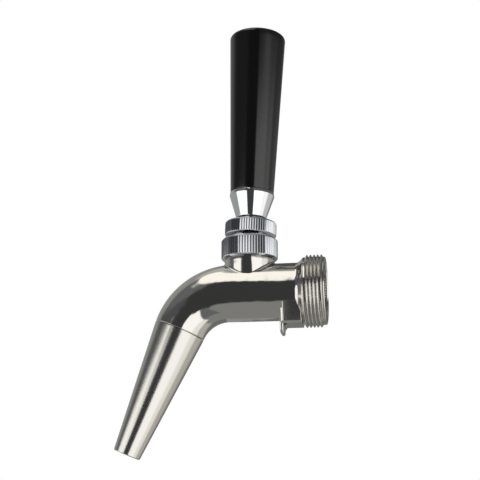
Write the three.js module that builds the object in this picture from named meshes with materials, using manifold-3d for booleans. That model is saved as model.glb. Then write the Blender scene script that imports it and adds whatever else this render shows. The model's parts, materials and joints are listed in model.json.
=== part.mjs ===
// Forward-sealing beer tap: a bent faucet body with a screw-in spout, a shuttle that
// seals at the front of the bore, and a ball lever with a black handle.
// Millimetres. +Z is up, -Y points forward over the glass, +Y points back into the shank.
// The origin is the centre of the rear end face, on the axis of the coupling thread.
import * as THREE from "three";
import { mergeVertices } from "three/addons/utils/BufferGeometryUtils.js";
import Module from "manifold-3d";

const wasm = await Module();
wasm.setup();

const DEG = Math.PI / 180;

// ---------------------------------------------------------------- driving dimensions
// Body pieces: "forward" counts from the rear face towards the glass.

const thread = { major: 28.575, pitch: 1.411, depth: 0.87, start: 1.2, end: 8, topCrest: 1.6 };
const rim = { radius: 13.3, length: 1.1, corner: 0.6 };
const splines = { count: 72, rootRadius: 12, tipRadius: 11.4, start: 1, end: 5 };
const washerSeat = 6.8;
const tube = { backRadius: 11.35, radius: 11.3, start: 11.6, fillet: 2.2 };
const elbow = { corner: 52.14, radius: 21.7, angle: 67.2, joint: 15.4, jointRadius: 10.17, taper: 0.8 };
const bore = { radius: 7, seatStart: 42, seatEnd: 44.5, outlet: 5, bendRadius: 10.8 };
const socket = { radius: 8.3, depth: 6.4 };
const lug = { front: 18, back: 16.6, bottom: -16.9, halfWidth: 4.4, shoulder: 5.5, fillet: 2 };
const pad = { top: -4.9, bottom: -13.4, halfTop: 10.2, halfBottom: 6.3, chamfer: 0.8 };

// Pieces on the neck: heights count from the lever's pivot.
const pivot = { forward: 30.27, height: 13 };
const neck = { radius: 9.9, footRadius: 9.65, threadRadius: 9.2, top: 5 };
const leverHole = { radius: 6, counterbore: 7.6, floor: -4.6 };
const bonnet = { radius: 11.25, bottom: 0.2, top: 8.9, lip: 6.1, bore: 9.5 };
const bonnetMouth = { low: 7.2, high: 8.7 };
const knurl = { count: 64, depth: 0.3 };
const ballSeal = { section: 0.9, ringRadius: 6.41, height: -3.6 };
const cup = { radius: 7.35, bottom: 1.2, waist: 5.6, throat: 6.5, top: 5.15 };
const frictionWasher = { hole: 7, radius: 9, bottom: 5.3, top: 5.95 };

// Pieces on the lever: heights count from its ball's centre along the lever.
const restLean = 2.2; // degrees, top leans back
const ball = { radius: 6.35, clearance: 0.1 };
const lever = { neckRadius: 3.2, rodRadius: 4.76, neckEnd: 12.3, rodEnd: 25 };
const finger = { radius: 2, tipRadius: 2.8, length: 13 };
const collar = { radius: 10.3, bottom: 9.8, top: 15.7, bore: 5, sweep: 14.2 };
const collarHub = { radius: 5.7, top: 17.2 };
const ferrule = { footRadius: 6, foot: 17.5, radius: 9, widest: 26.7, topRadius: 8.85, top: 27.9 };
const bolt = { radius: 3.97, start: 25.4, end: 43.4 };
const boltBore = 4.25;
const insert = { radius: 6, start: 28.6, end: 42 };
const handle = { foot: 28.1, footRadius: 8.75, rim: 94.8, rimRadius: 11.5, corner: 1.6, dome: 1.2 };
const handleBore = { radius: 6.3, end: 44.5 };

// Pieces in the spout: heights count from its shoulder towards the tip.
const spout = { length: 52.05, tipRadius: 5.4, bore: 5, tipBore: 4.2 };
const spigot = { radius: 8, length: 6.2, groove: 6.3, grooveTop: -4.2, grooveEnd: -1.9 };
const spoutRing = { section: 0.9, ringRadius: 7.3 };

// Pieces in the bore.
const shuttle = { rear: 16, nose: 45, stem: 2.6, guide: 6.6, carriage: 6.4, flange: 6.2 };
const pocket = { halfLength: 3.1, floor: -3.2, flat: 2.6, underside: -4.8 };
const frontRing = { section: 0.9, ringRadius: 5.4, forward: 42.5 };
const couplingWasher = { hole: 7.3, radius: 11, back: 5.2, front: 6.7 };

// ---------------------------------------------------------------- geometry helpers

// A closed three.js geometry as a manifold-3d solid: welded, with collapsed faces dropped.
function solid(geometry) {
  const bare = geometry.clone();
  bare.deleteAttribute("normal");
  bare.deleteAttribute("uv");
  const welded = mergeVertices(bare, 1e-4);
  const index = welded.index.array;
  const faces = [];
  for (let i = 0; i < index.length; i += 3) {
    const [a, b, c] = index.subarray(i, i + 3);
    if (a !== b && b !== c && c !== a) faces.push(a, b, c);
  }
  return new wasm.Manifold(
    new wasm.Mesh({
      numProp: 3,
      vertProperties: welded.attributes.position.array,
      triVerts: Uint32Array.from(faces),
    }),
  );
}

// A manifold-3d solid as a three.js geometry.
function geometryOf(body) {
  const { vertProperties, triVerts } = body.getMesh();
  const geometry = new THREE.BufferGeometry();
  geometry.setAttribute("position", new THREE.BufferAttribute(vertProperties, 3));
  geometry.setIndex(new THREE.BufferAttribute(triVerts, 1));
  geometry.computeVertexNormals();
  return geometry;
}

// Twice the area inside a loop of [radius, height] pairs, positive when anticlockwise.
function loopArea(loop) {
  return loop.reduce((sum, [r, z], i) => {
    const [nextR, nextZ] = loop[(i + 1) % loop.length];
    return sum + r * nextZ - nextR * z;
  }, 0);
}

// Turns [radius, height] pairs about +Z. A profile that stays off the axis closes on itself.
function turnedGeometry(profile, segments = 40) {
  const loop = loopArea(profile) > 0 ? [...profile] : [...profile].reverse();
  if (loop.every(([r]) => r > 0)) loop.push(loop[0]);
  const points = loop.map(([r, z]) => new THREE.Vector2(r, z));
  return new THREE.LatheGeometry(points, segments).rotateX(Math.PI / 2);
}

function turned(profile, segments) {
  return solid(turnedGeometry(profile, segments));
}

// Points along an arc in the [radius, height] plane, angles in degrees.
function arc(centreR, centreZ, radius, from, to, steps) {
  return Array.from({ length: steps + 1 }, (_, i) => {
    const angle = (from + ((to - from) * i) / steps) * DEG;
    return [centreR + radius * Math.cos(angle), centreZ + radius * Math.sin(angle)];
  });
}

// Evenly spaced numbers from one end to the other, both included.
function spaced(from, to, steps) {
  return Array.from({ length: steps + 1 }, (_, i) => from + ((to - from) * i) / steps);
}

// A ring of round section about +Z.
function oRing({ ringRadius, section }, height) {
  return turned(arc(ringRadius, height, section, 0, 315, 7), 24);
}

// A plate between two heights with a straight-sided outline of [x, y] pairs.
function extruded(outline, low, high) {
  const shape = new THREE.Shape(outline.map(([x, y]) => new THREE.Vector2(x, y)));
  const options = { depth: high - low, bevelEnabled: false };
  return new THREE.ExtrudeGeometry(shape, options).translate(0, 0, low);
}

// A prism between two heights whose outline has pointed teeth, for knurls and splines.
function toothed(rootRadius, tipRadius, count, low, high) {
  const outline = spaced(0, 2 * count - 1, 2 * count - 1).map((i) => {
    const radius = i % 2 ? rootRadius : tipRadius;
    const angle = (Math.PI * i) / count;
    return [radius * Math.cos(angle), radius * Math.sin(angle)];
  });
  return extruded(outline, low, high);
}

// Moves every vertex of a geometry to the place that a function gives for it.
function warped(geometry, place) {
  const positions = geometry.attributes.position;
  for (let i = 0; i < positions.count; i++) {
    const moved = place(positions.getX(i), positions.getY(i), positions.getZ(i));
    positions.setXYZ(i, ...moved);
  }
  return geometry;
}

// Bends a shape that stands on +Z: +Z then runs forward, round the elbow and down the spout.
const sweep = elbow.angle * DEG;
function alongBody(bendRadius) {
  const bendStart = elbow.corner - bendRadius * Math.tan(sweep / 2);
  return (x, up, along) => {
    const turn = Math.min(Math.max((along - bendStart) / bendRadius, 0), sweep);
    const before = Math.min(along, bendStart);
    const after = Math.max(along - bendStart - bendRadius * sweep, 0);
    const forward = before + (bendRadius + up) * Math.sin(turn) + after * Math.cos(turn);
    const height = (bendRadius + up) * Math.cos(turn) - bendRadius - after * Math.sin(turn);
    return [x, -forward, height];
  };
}

// Distance along a centreline of the given bend radius to the face where the spout starts.
function jointDistance(bendRadius) {
  const tangent = bendRadius * Math.tan(sweep / 2);
  return elbow.corner + elbow.joint - 2 * tangent + bendRadius * sweep;
}

// ---------------------------------------------------------------- body

const threadRoot = thread.major / 2 - thread.depth;

// Rim, thread core, flare, tube and elbow as one bent turning.
function bodySkin() {
  const bendStart = elbow.corner - elbow.radius * Math.tan(sweep / 2);
  const end = jointDistance(elbow.radius);
  const fillet = arc(tube.backRadius + tube.fillet, tube.start, tube.fillet, 225, 180, 3);
  const [filletRadius, filletForward] = fillet[0];
  const profile = [
    [0, 0],
    ...arc(rim.radius - rim.corner, rim.corner, rim.corner, -90, 0, 3),
    [rim.radius, rim.length],
    [threadRoot, rim.length + 0.3],
    [threadRoot, filletForward - (threadRoot - filletRadius)],
    ...fillet,
    ...spaced(0, 1, 10).map((share) => [
      tube.radius + (elbow.jointRadius - tube.radius) * share ** elbow.taper,
      bendStart + (end - bendStart) * share,
    ]),
    [0, end],
  ];
  return solid(warped(turnedGeometry(profile, 40), alongBody(elbow.radius)));
}

// The hollow along the beer's way: mouth, washer seat, shuttle bore, seat cone, curved
// outlet and the socket for the spout.
function beerWay() {
  const end = jointDistance(bore.bendRadius);
  const outletEnd = end - socket.depth;
  const profile = [
    [0, -1],
    [splines.rootRadius + 0.1, -1],
    [splines.rootRadius + 0.1, splines.start],
    [splines.tipRadius - 0.4, splines.start],
    [splines.tipRadius - 0.4, splines.end - 0.3],
    [splines.tipRadius, splines.end - 0.3],
    [splines.tipRadius, washerSeat],
    [bore.radius, washerSeat],
    [bore.radius, bore.seatStart],
    ...spaced(bore.seatEnd, outletEnd, 9).map((along) => [bore.outlet, along]),
    [socket.radius, outletEnd],
    [socket.radius, end + 1],
    [0, end + 1],
  ];
  return solid(warped(turnedGeometry(profile, 32), alongBody(bore.bendRadius)));
}

// Grooves that lock onto the teeth of the shank, so that the tap can't turn.
function splineGrooves() {
  const { tipRadius, rootRadius, count, start, end } = splines;
  const cutter = toothed(tipRadius, rootRadius, count, start - 0.5, end);
  return solid(warped(cutter, alongBody(bore.bendRadius)));
}

// The right-hand ridge of the coupling thread: a square rod wound into a helix, which
// sinks into the core at both ends.
function threadRidge() {
  const length = thread.end - thread.start;
  const turns = length / thread.pitch;
  const rod = new THREE.CylinderGeometry(1, 1, 1, 4, Math.round(turns * 26));
  const crest = thread.major / 2;
  const half = thread.depth + 0.2;
  const wind = (across, share, sideways) => {
    const t = share + 0.5;
    const fade = Math.min(1, 0.1 + 10 * Math.min(t, 1 - t));
    const radius = crest - half * (2 - fade) + across * half * fade;
    const forward = thread.start + length * t + sideways * 0.6 * thread.pitch * fade;
    const angle = (2 * Math.PI * (thread.start + length * t - thread.topCrest)) / thread.pitch;
    return [-radius * Math.sin(angle), -forward, radius * Math.cos(angle)];
  };
  return solid(warped(rod, wind));
}

// A closed outline from its left half, listed from the top down.
function mirrored(half) {
  return [...half, ...half.map(([x, up]) => [-x, up]).reverse()];
}

// Cast pad under the tube, in front of the thread flange, and the locking lug at its front.
// The sides of the pad leave the tube at a tangent.
function padAndLug() {
  const { front, back, bottom, halfWidth, shoulder, fillet } = lug;
  const padOutline = mirrored([
    [-bore.radius - 1, -3],
    [-pad.halfTop, pad.top],
    [-pad.halfBottom, pad.bottom + pad.chamfer],
    [-pad.halfBottom + pad.chamfer, pad.bottom],
  ]);
  const block = extruded(padOutline, tube.start - tube.fillet, back + 0.4).rotateX(Math.PI / 2);
  const plateOutline = mirrored([
    [-shoulder, pad.top],
    [-shoulder, -tube.radius],
    [-halfWidth, bottom + 1.2],
    [-halfWidth + 1, bottom],
  ]);
  const plate = extruded(plateOutline, back, front).rotateX(Math.PI / 2);
  const footOutline = [
    [back + 0.4, pad.bottom + 1],
    [back - fillet, pad.bottom + 1],
    ...arc(back - fillet, pad.bottom - fillet, fillet, 90, 0, 4),
    [back + 0.4, pad.bottom - fillet],
  ];
  const foot = extruded(footOutline, -halfWidth + 0.5, halfWidth - 0.5);
  const acrossX = (forward, up, x) => [-x, -forward, up];
  return solid(block).add(solid(plate)).add(solid(warped(foot, acrossX)));
}

function body() {
  const seatHeight = pivot.height + bonnet.bottom;
  const stem = turnedGeometry([
    [0, 2],
    [neck.footRadius, 2],
    [neck.footRadius, 6],
    [neck.radius, seatHeight - 1],
    [neck.radius, seatHeight - 0.2],
    [neck.threadRadius, seatHeight],
    [neck.threadRadius, pivot.height + neck.top - 0.4],
    [neck.threadRadius - 0.4, pivot.height + neck.top],
    [0, pivot.height + neck.top],
  ]);
  const hole = turnedGeometry([
    [0, 0],
    [leverHole.radius, 0],
    [leverHole.radius, pivot.height + leverHole.floor],
    [leverHole.counterbore, pivot.height + leverHole.floor],
    [leverHole.counterbore, pivot.height + neck.top + 1],
    [0, pivot.height + neck.top + 1],
  ]);
  return bodySkin()
    .add(threadRidge())
    .add(padAndLug())
    .add(solid(stem.translate(0, -pivot.forward, 0)))
    .subtract(beerWay())
    .subtract(splineGrooves())
    .subtract(solid(hole.translate(0, -pivot.forward, 0)));
}

// ---------------------------------------------------------------- pieces on the neck

// Turned blank with a straight knurl that its end chamfers cut back.
function knurled(envelope, radius, low, high) {
  const blank = toothed(radius - knurl.depth, radius, knurl.count, low, high);
  return turned(envelope).intersect(solid(blank));
}

function bonnetNut() {
  const { radius, bottom, top, lip } = bonnet;
  const envelope = [
    [0, bottom],
    [radius - 0.7, bottom],
    [radius, bottom + 0.7],
    [radius, top - 1.2],
    [radius - 1.2, top],
    [0, top],
  ];
  const hollow = [
    [0, bottom - 1],
    [bonnet.bore, bottom - 1],
    [bonnet.bore, lip],
    [bonnetMouth.low, lip],
    [bonnetMouth.high, top],
    [bonnetMouth.high, top + 1],
    [0, top + 1],
  ];
  return knurled(envelope, radius, bottom, top).subtract(turned(hollow));
}

// Plastic ring whose hollow face carries the top of the ball.
function bearingCup() {
  const reach = ball.radius + ball.clearance;
  const low = Math.asin(cup.bottom / reach) / DEG;
  const high = Math.acos(cup.waist / reach) / DEG;
  return turned(
    [
      [cup.radius, cup.bottom],
      [cup.radius, cup.top],
      [cup.throat, cup.top],
      ...arc(0, 0, reach, high, low, 3),
    ],
    32,
  );
}

function frictionRing() {
  const { hole, radius, bottom, top } = frictionWasher;
  return turned([
    [hole, bottom],
    [radius, bottom],
    [radius, top],
    [hole, top],
  ]);
}

// ---------------------------------------------------------------- pieces on the lever

// Finger, ball, neck and threaded rod in one piece.
function ballLever() {
  const tipMeet = Math.acos(finger.radius / finger.tipRadius) / DEG;
  const fingerMeet = Math.acos(finger.radius / ball.radius) / DEG;
  const neckMeet = Math.acos(lever.neckRadius / ball.radius) / DEG;
  return turned(
    [
      ...arc(0, -finger.length, finger.tipRadius, -90, tipMeet, 5),
      ...arc(0, 0, ball.radius, -fingerMeet, neckMeet, 9),
      [lever.neckRadius, lever.neckEnd],
      [lever.rodRadius, lever.neckEnd + 0.9],
      [lever.rodRadius, lever.rodEnd - 0.6],
      [lever.rodRadius - 0.6, lever.rodEnd],
      [0, lever.rodEnd],
    ].map(([r, z]) => [Math.abs(r) < 1e-6 ? 0 : r, z]),
    24,
  );
}

// Knurled lock ring. Its hollow underside swings over the bonnet on a sphere about the ball.
function leverCollar() {
  const { radius, bottom, top, bore: hole, sweep: reach } = collar;
  const rimMeet = Math.acos(radius / reach) / DEG;
  const boreMeet = Math.acos(hole / reach) / DEG;
  const envelope = [
    [0, bottom],
    [radius, bottom],
    [radius, top - 0.7],
    [radius - 0.7, top],
    [0, top],
  ];
  const hub = [
    [0, top - 1],
    [collarHub.radius, top - 1],
    [collarHub.radius, collarHub.top - 0.2],
    [collarHub.radius - 0.2, collarHub.top],
    [0, collarHub.top],
  ];
  const hollow = [
    [0, bottom - 1],
    [radius + 0.1, bottom - 1],
    ...arc(0, 0, reach, rimMeet - 1, boreMeet, 4),
    [hole, collarHub.top + 1],
    [0, collarHub.top + 1],
  ];
  return knurled(envelope, radius, bottom, top).add(turned(hub)).subtract(turned(hollow));
}

function chromeFerrule() {
  return turned([
    [collar.bore, ferrule.foot],
    [ferrule.footRadius, ferrule.foot],
    [ferrule.radius, ferrule.widest],
    [ferrule.topRadius, ferrule.top],
    [boltBore, ferrule.top],
    [boltBore, lever.rodEnd + 0.3],
    [collar.bore, lever.rodEnd + 0.3],
  ]);
}

function threadedInsert() {
  return turned(
    [
      [boltBore, insert.start],
      [insert.radius, insert.start],
      [insert.radius, insert.end],
      [boltBore, insert.end],
    ],
    24,
  );
}

function hangerBolt() {
  return turned(
    [
      [0, bolt.start],
      [bolt.radius - 0.5, bolt.start],
      [bolt.radius, bolt.start + 0.5],
      [bolt.radius, bolt.end - 0.5],
      [bolt.radius - 0.5, bolt.end],
      [0, bolt.end],
    ],
    24,
  );
}

function taperedHandle() {
  const { foot, footRadius, rim: rimHeight, rimRadius, corner, dome } = handle;
  const end = handleBore.end;
  return turned([
    [0, end + 1.5],
    [handleBore.radius, end],
    [handleBore.radius, foot],
    [footRadius - 0.2, foot],
    [footRadius, foot + 0.3],
    ...arc(rimRadius - corner, rimHeight, corner, 0, 75, 5),
    [rimRadius * 0.5, rimHeight + corner + dome * 0.8],
    [0, rimHeight + corner + dome],
  ]);
}

// ---------------------------------------------------------------- spout and shuttle

function coneSpout() {
  const { length, tipRadius, tipBore } = spout;
  const { radius, length: depth, groove, grooveTop, grooveEnd } = spigot;
  return turned([
    [spout.bore, -depth],
    [radius - 0.3, -depth],
    [radius, 0.3 - depth],
    [radius, grooveTop],
    [groove, grooveTop],
    [groove, grooveEnd],
    [radius, grooveEnd],
    [radius, 0.12],
    [elbow.jointRadius - 0.2, 0.12],
    [elbow.jointRadius, 0.4],
    [tipRadius, length - 0.3],
    [tipRadius - 0.25, length],
    [tipBore, length],
  ]);
}

// Turned shuttle: guide at the back, carriage round the lever's finger, and the nose that
// carries the front ring.
function shuttleStem() {
  const { rear, nose, stem, guide, carriage, flange } = shuttle;
  const { forward, section, ringRadius } = frontRing;
  const floor = ringRadius - section - 0.1;
  const carriageBack = pivot.forward - 5;
  const carriageFront = pivot.forward + 6;
  const ringBack = forward - section - 0.1;
  const ringFront = forward + section + 0.1;
  const blank = turned(
    [
      [0, rear],
      [guide - 0.5, rear],
      [guide, rear + 0.5],
      [guide, rear + 2.5],
      [stem, rear + 3.5],
      [stem, carriageBack],
      [carriage, carriageBack],
      [carriage, carriageFront],
      [stem, carriageFront],
      [stem, ringBack - 1.9],
      [flange, ringBack - 1.1],
      [flange, ringBack - 0.2],
      [floor, ringBack],
      [floor, ringFront],
      [floor + 0.5, ringFront + 0.1],
      [floor + 0.5, nose - 1],
      [floor - 0.9, nose],
      [0, nose],
    ],
    24,
  );
  const restForward = pivot.forward + finger.length * Math.sin(restLean * DEG);
  const wide = 2 * guide + 1;
  const long = carriageFront - carriageBack + 0.2;
  const middle = (carriageFront + carriageBack) / 2;
  const { halfLength, floor: pocketFloor, flat, underside } = pocket;
  const block = (width, height, depth, x, up, along) =>
    solid(new THREE.BoxGeometry(width, height, depth).translate(x, up, along));
  const topCut = block(wide, 10, long, 0, flat + 5, middle);
  const bottomCut = block(wide, 10, long, 0, underside - 5, middle);
  const well = block(2 * halfLength, 20, 2 * halfLength, 0, pocketFloor + 10, restForward);
  const notches = [90, 210, 330].map((angle) =>
    solid(
      turnedGeometry(
        [
          [0, rear - 1],
          [3, rear - 1],
          [3, rear + 4],
          [0, rear + 4],
        ],
        16,
      ).translate((guide + 0.3) * Math.cos(angle * DEG), (guide + 0.3) * Math.sin(angle * DEG), 0),
    ),
  );
  return [topCut, bottomCut, well, ...notches].reduce((left, cut) => left.subtract(cut), blank);
}

function rearWasher() {
  const { hole, radius, back, front } = couplingWasher;
  return turned([
    [hole, back],
    [radius, back],
    [radius, front],
    [hole, front],
  ]);
}

// ---------------------------------------------------------------- scene graph

const steel = { color: 0xb9b5aa, metalness: 1, roughness: 0.16 };
const satinSteel = { color: 0xa8a49a, metalness: 1, roughness: 0.38 };
const chrome = { color: 0xd7dade, metalness: 1, roughness: 0.08 };
const brass = { color: 0xc9a24e, metalness: 1, roughness: 0.3 };
const blackPlastic = { color: 0x0d0d0e, metalness: 0, roughness: 0.25 };
const blackRubber = { color: 0x1b1b1c, metalness: 0, roughness: 0.7 };
const whiteRubber = { color: 0xe6e4dc, metalness: 0, roughness: 0.6 };
const acetal = { color: 0xefeee8, metalness: 0, roughness: 0.45 };

function piece(name, shape, look) {
  const mesh = new THREE.Mesh(geometryOf(shape), new THREE.MeshStandardMaterial(look));
  mesh.name = name;
  return mesh;
}

const tap = new THREE.Group();
tap.add(piece("body", body(), steel));

const inBore = new THREE.Group();
inBore.rotation.x = Math.PI / 2;
inBore.add(piece("coupling_washer", rearWasher(), blackRubber));
inBore.add(piece("shuttle", shuttleStem(), satinSteel));
inBore.add(piece("front_seal_ring", oRing(frontRing, frontRing.forward), blackRubber));
tap.add(inBore);

const onNeck = new THREE.Group();
onNeck.position.set(0, -pivot.forward, pivot.height);
onNeck.add(piece("ball_seal_ring", oRing(ballSeal, ballSeal.height), blackRubber));
onNeck.add(piece("bearing_cup", bearingCup(), acetal));
onNeck.add(piece("friction_washer", frictionRing(), whiteRubber));
onNeck.add(piece("bonnet", bonnetNut(), chrome));
tap.add(onNeck);

const onLever = new THREE.Group();
onLever.position.copy(onNeck.position);
onLever.rotation.x = -restLean * DEG;
onLever.add(piece("lever", ballLever(), satinSteel));
onLever.add(piece("lever_collar", leverCollar(), chrome));
onLever.add(piece("ferrule", chromeFerrule(), chrome));
onLever.add(piece("threaded_insert", threadedInsert(), brass));
onLever.add(piece("hanger_bolt", hangerBolt(), satinSteel));
onLever.add(piece("handle", taperedHandle(), blackPlastic));
tap.add(onLever);

const inSpout = new THREE.Group();
inSpout.position.set(...alongBody(elbow.radius)(0, 0, jointDistance(elbow.radius)));
inSpout.rotation.x = Math.PI / 2 + sweep;
const ringHeight = (spigot.grooveTop + spigot.grooveEnd) / 2;
inSpout.add(piece("spout", coneSpout(), satinSteel));
inSpout.add(piece("spout_ring", oRing(spoutRing, ringHeight), blackRubber));
tap.add(inSpout);

export default tap;
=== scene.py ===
"""Looks of the forward-sealing beer tap: fine meshes, materials, studio and camera.

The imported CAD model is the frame. Shapes here are worked out in millimetres and
placed in metres. "Along" counts from the rear face forwards, then round the elbow
and down the spout. "Height" counts from the lever's pivot or from the spout's shoulder.
"""
import json
import math
from collections import namedtuple

import bmesh
import bpy
import numpy as np
from mathutils import Matrix, Vector
from mathutils.bvhtree import BVHTree


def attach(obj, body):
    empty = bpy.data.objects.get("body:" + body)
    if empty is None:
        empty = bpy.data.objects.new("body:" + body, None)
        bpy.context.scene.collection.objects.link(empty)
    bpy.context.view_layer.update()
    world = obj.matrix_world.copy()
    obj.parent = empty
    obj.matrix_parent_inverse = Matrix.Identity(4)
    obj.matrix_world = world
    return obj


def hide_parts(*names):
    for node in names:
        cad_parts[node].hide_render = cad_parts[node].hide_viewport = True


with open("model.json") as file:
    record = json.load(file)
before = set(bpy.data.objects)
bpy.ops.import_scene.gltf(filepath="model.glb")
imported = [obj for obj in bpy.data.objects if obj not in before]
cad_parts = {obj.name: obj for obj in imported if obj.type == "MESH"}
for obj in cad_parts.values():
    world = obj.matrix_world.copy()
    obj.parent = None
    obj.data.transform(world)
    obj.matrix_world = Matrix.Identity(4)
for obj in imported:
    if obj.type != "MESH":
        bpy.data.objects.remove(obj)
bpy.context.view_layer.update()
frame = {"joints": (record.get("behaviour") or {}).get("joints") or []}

MM = 0.001
TAU = 2 * math.pi
TINY = 1e-6

# ---------------------------------------------------------------- places from the frame


def joint(name):
    return next(j for j in frame["joints"] if j["name"] == name)


PIVOT = np.array(joint("lever_tilt")["pos_m"]) / MM
LEVER_AXIS = np.array(joint("handle_turn")["axis"])
SPOUT_TOP = np.array(joint("spout_turn")["pos_m"]) / MM
SPOUT_AXIS = np.array(joint("spout_turn")["axis"])
UP = np.array([0.0, 0.0, 1.0])
FORWARD = np.array([0.0, -1.0, 0.0])
ORIGIN = np.zeros(3)

# ---------------------------------------------------------------- sizes, in millimetres

SPARE = 1.0        # how far cutters and sunk faces reach past the surface they meet
THREAD = {"crest": 14.2875, "pitch": 1.411, "depth": 0.87, "start": 0.9, "end": 8.5, "top_crest": 1.6,
          "half_width": 0.48, "sunk": 0.25}
CORE_RADIUS = THREAD["crest"] - THREAD["depth"] - 0.1
RIM = {"radius": 13.3, "length": 1.1, "edge": 0.5}
SPLINES = {"count": 72, "root": 12.0, "tip": 11.4, "start": 0.5, "end": 5.0}
MOUTH = {"radius": 12.1, "straight": 1.0, "cone_end": 1.3, "relief": 11.0, "relief_end": 4.7, "seat": 6.8}
TUBE = {"radius": 11.3, "back_radius": 11.35, "start": 11.6, "flare": 2.2}
ELBOW = {"corner": 52.14, "radius": 21.7, "sweep": math.radians(67.2), "joint": 15.4}
JOINT_RADIUS, TAPER_BLEND = 10.17, 0.06
BORE_RADIUS, SEAT_START, SEAT_END = 7.0, 42.0, 44.5
OUTLET_RADIUS, OUTLET_BEND = 5.0, 10.8
SOCKET = {"radius": 8.3, "depth": 6.4}
PAD = {"back": 9.4, "inner": -3.0, "top": -4.9, "bottom": -13.4, "half_top": 10.2, "half_bottom": 6.3,
       "side_edge": 1.0, "under_edge": 1.5, "end_edge": 0.3}
SWELL = {"inset": 1.9, "drop": 3.0, "behind": 1.2, "short": 0.3, "edge": 1.1}
LUG = {"front": 18.0, "back": 16.6, "bottom": -16.9, "half": 4.4, "shoulder": 5.5, "fillet": 2.0,
       "inner": -5.0, "waist": -11.0, "waist_fillet": 3.0, "corner": 1.2, "edge": 0.55}
NECK = {"radius": 9.9, "foot": 9.65, "start": 2.0, "foot_end": 5.0, "thread": 9.2, "top": 5.0, "chamfer": 0.4}
NECK_FILLET = 1.3
LEVER_HOLE = {"radius": 6.0, "counterbore": 7.6, "floor": -4.6}
CHAMFER = 0.3      # chamfer of a bored edge
BONNET = {"radius": 11.25, "bottom": 0.2, "top": 8.9, "lip": 6.1, "bore": 9.5, "low": 7.2, "high": 8.7,
          "chamfer": 0.7, "top_chamfer": 1.0}
KNURL = {"count": 64, "depth": 0.3, "samples": 8}
COLLAR = {"radius": 10.3, "top": 15.7, "bore": 5.0, "sweep": 14.2, "chamfer": 0.35, "top_chamfer": 0.6}
COLLAR_HUB = {"radius": 5.7, "top": 17.2}
LEVER = {"ball": 6.35, "neck": 3.2, "neck_start": 6.0, "neck_end": 12.3, "rod": 4.76, "rod_end": 25.0}
ROD_THREAD = {"pitch": 1.5875, "depth": 0.75, "runout": 0.9, "samples": 64}
FINGER = {"radius": 2.0, "tip": 2.8, "length": 13.0}
FERRULE = {"foot_radius": 6.0, "foot": 17.5, "radius": 9.0, "widest": 26.7, "top_radius": 8.85, "top": 27.9}
BOLT_BORE = 4.25
HANDLE = {"foot": 28.1, "foot_radius": 8.75, "rim": 94.8, "rim_radius": 11.5, "corner": 1.6, "dome": 1.2}
HANDLE_BORE = {"radius": 6.3, "end": 44.5, "cone": 1.5}
SPOUT = {"length": 52.05, "tip": 5.4, "bore": 5.0, "tip_bore": 4.2}
SEAM = {"width": 0.32, "depth": 1.9}
SPIGOT = {"radius": 8.0, "length": 6.2, "groove": 6.3, "groove_top": -4.2, "groove_end": -1.9,
          "shoulder": 0.1}
WASHER = {"inner": 7.3, "outer": 11.0, "start": 5.2, "end": 6.7, "edge": 0.25}
STEM_RADIUS = 2.6
GUIDE = {"radius": 6.6, "start": 16.0, "end": 18.5, "taper": 1.0, "way_radius": 3.0, "way_centre": 6.9}
CARRIAGE = {"radius": 6.4, "behind": 5.0, "ahead": 6.0, "top": 2.6, "bottom": -4.8, "pocket": 3.1,
            "pocket_floor": -3.2}
NOSE = {"start": 39.6, "flange": 40.4, "flange_end": 41.3, "flange_radius": 6.2, "groove": 4.4,
        "groove_start": 41.5, "groove_end": 43.5, "lip": 4.9, "lip_end": 44.0, "tip": 3.5, "end": 45.0}

# ---------------------------------------------------------------- mesh helpers


def add_object(name, data):
    made = bpy.data.objects.new(name, data)
    bpy.context.scene.collection.objects.link(made)
    return made


def mesh_object(name, vertices, faces):
    """A new object of vertices in millimetres, its faces turned outwards."""
    mesh = bpy.data.meshes.new(name)
    mesh.from_pydata((np.asarray(vertices) * MM).tolist(), [], faces)
    shape = bmesh.new()
    shape.from_mesh(mesh)
    bmesh.ops.recalc_face_normals(shape, faces=shape.faces)
    shape.to_mesh(mesh)
    shape.free()
    return add_object(name, mesh)


def smooth(piece, degrees=32):
    """Smooth shading with creases wherever two faces meet at more than this angle."""
    piece.data.polygons.foreach_set("use_smooth", [True] * len(piece.data.polygons))
    piece.data.set_sharp_from_angle(angle=math.radians(degrees))
    return piece


def quads(rows, around, closed=False):
    """Faces between rows of points that each run round a loop. If closed, the last row
    joins the first."""
    faces = []
    for row in range(rows if closed else rows - 1):
        low, high = row * around, (row + 1) % rows * around
        for i in range(around):
            j = (i + 1) % around
            faces.append((low + i, low + j, high + j, high + i))
    return faces


def rounded(corners, steps=4):
    """A profile through (radius, height) corners, where a third number is a fillet radius."""
    points = []
    for i, corner in enumerate(corners):
        here = np.array(corner[:2], float)
        if len(corner) < 3 or i in (0, len(corners) - 1):
            points.append(here)
            continue
        before = np.array(corners[i - 1][:2], float) - here
        after = np.array(corners[i + 1][:2], float) - here
        reach = min(np.linalg.norm(before), np.linalg.norm(after)) * 0.48
        before, after = before / np.linalg.norm(before), after / np.linalg.norm(after)
        half = math.acos(float(np.clip(before @ after, -1, 1))) / 2
        length = min(corner[2] / math.tan(half), reach)
        middle = before + after
        centre = here + middle / np.linalg.norm(middle) * length / math.cos(half)
        start, end = here + before * length - centre, here + after * length - centre
        radius, turn = np.linalg.norm(start), math.pi - 2 * half
        for step in range(steps + 1):
            share = step / steps
            blend = math.sin((1 - share) * turn) * start + math.sin(share * turn) * end
            points.append(centre + blend / np.linalg.norm(blend) * radius)
    return np.array(points)


def resampled(profile, longest):
    """The same profile with its long stretches divided."""
    points = [profile[0]]
    for a, b in zip(profile[:-1], profile[1:]):
        count = max(1, math.ceil(np.linalg.norm(b - a) / longest))
        points += [a + (b - a) * k / count for k in range(1, count + 1)]
    return np.array(points)


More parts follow.
